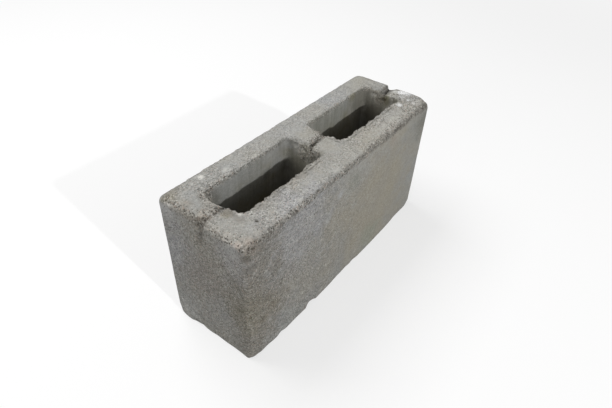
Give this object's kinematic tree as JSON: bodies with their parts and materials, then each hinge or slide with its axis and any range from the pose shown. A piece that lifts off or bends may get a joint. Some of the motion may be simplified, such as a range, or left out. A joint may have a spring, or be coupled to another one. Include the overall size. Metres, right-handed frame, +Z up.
{
  "type": "hollow concrete block",
  "caption": "Narrow hollow concrete masonry block with long tapered cores, worn arrises and a core-bar trough along its top bed face.",
  "frame": {"origin": "middle of the bottom bed face, on the surface that the block stands on", "axes": "+Z up through the cores, +X along the length, +Y across the width"},
  "size_m": [0.39, 0.13, 0.19],
  "materials": {
    "concrete": "dry-cast dense-aggregate concrete, matt, fine open texture with rough worn arrises"
  },
  "bodies": {
    "root": {"hollow_block": "concrete"}
  },
  "joints": []
}
